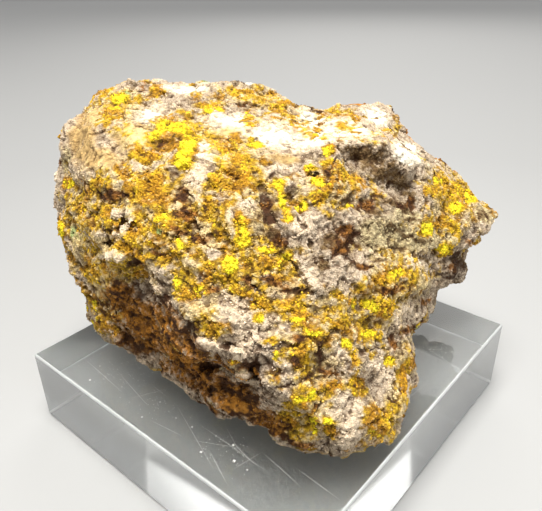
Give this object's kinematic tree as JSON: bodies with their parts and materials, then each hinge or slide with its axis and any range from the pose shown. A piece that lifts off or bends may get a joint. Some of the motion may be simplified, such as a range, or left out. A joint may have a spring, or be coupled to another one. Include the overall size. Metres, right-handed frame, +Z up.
{
  "type": "dewindtite mineral specimen on a clear display block",
  "caption": "Craggy lump of ore with lemon and ochre crusts, resting on a square block of clear acrylic for display.",
  "frame": {"origin": "middle of the acrylic block's underside, on the surface that the block stands on", "axes": "+Z up; X and Y along the block's sides; the stone's broad crusted face looks towards +X -Y"},
  "size_m": [0.0808, 0.0823, 0.0721],
  "materials": {
    "crusted_rock": "dry and earthy, with granular lemon and ochre crusts over a pale grey and rust-brown matrix",
    "clear_acrylic": "clear and polished, with hairline scratches and specks of dust"
  },
  "bodies": {
    "root": {"specimen_rock": "crusted_rock", "acrylic_block": "clear_acrylic"}
  },
  "joints": []
}
